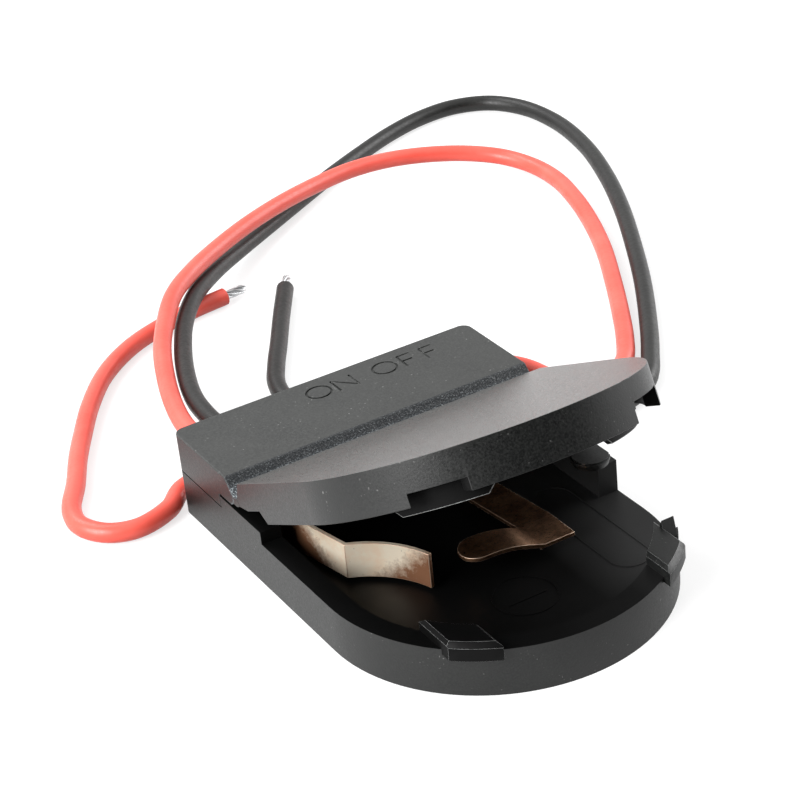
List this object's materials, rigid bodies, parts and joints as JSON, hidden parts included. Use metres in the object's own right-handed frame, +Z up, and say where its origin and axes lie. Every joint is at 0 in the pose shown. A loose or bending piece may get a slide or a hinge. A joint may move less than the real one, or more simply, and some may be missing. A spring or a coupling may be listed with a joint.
{
  "type": "coin cell holder",
  "caption": "Coin cell holder: round-fronted tray with a hinged lid, contact springs, a slide switch under a rear cover and two stripped leads.",
  "frame": {"origin": "bottom centre of the holder's box, from the round front to the tip of the switch knob, leads left out", "axes": "+X across the holder, +Y from the round front towards the back face where the leads come out, +Z up from the underside"},
  "size_m": [0.0682, 0.0846, 0.0177],
  "materials": {
    "black_plastic": "moulded black plastic, fine grain",
    "cover_plastic": "moulded black plastic, rubbed matte",
    "lid_plastic": "moulded black plastic, rubbed matte",
    "slider_plastic": "black plastic",
    "bright_copper": "bright phosphor bronze strip",
    "dark_copper": "toned phosphor bronze strip",
    "switch_steel": "tin plated sheet",
    "phenolic_board": "brown phenolic paper",
    "tinned_pin": "tinned pin",
    "solder": "solder",
    "red_insulation": "soft PVC insulation",
    "black_insulation": "soft PVC insulation",
    "copper_strand": "bare copper strand",
    "tinned_strand": "tinned strand end"
  },
  "bodies": {
    "holder": {"base_shell": "black_plastic", "top_cover": "cover_plastic", "hinge_web": "cover_plastic", "contact_positive": "bright_copper", "contact_negative": "dark_copper", "switch_case": "switch_steel", "switch_base": "phenolic_board", "terminal_on": "tinned_pin", "terminal_common": "tinned_pin", "terminal_off": "tinned_pin", "solder_on": "solder", "solder_common": "solder", "solder_negative": "solder", "red_wire": "red_insulation", "red_wire_core": "copper_strand", "red_wire_end": "tinned_strand", "black_wire": "black_insulation", "black_wire_core": "copper_strand", "black_wire_end": "tinned_strand"},
    "lid": {"lid": "lid_plastic"},
    "slider": {"switch_slider": "slider_plastic", "switch_wiper": "bright_copper"}
  },
  "joints": [
    {"name": "lid_hinge", "type": "hinge", "parent": "holder", "child": "lid", "pos_m": [0, 0.0073, 0.00525], "axis": [-1, 0, 0], "range_deg": [-26.5, 63.5], "deforming": ["hinge_web"]},
    {"name": "switch_slide", "type": "slide", "parent": "holder", "child": "slider", "axis": [1, 0, 0], "range_m": [-0.002, 0]}
  ]
}
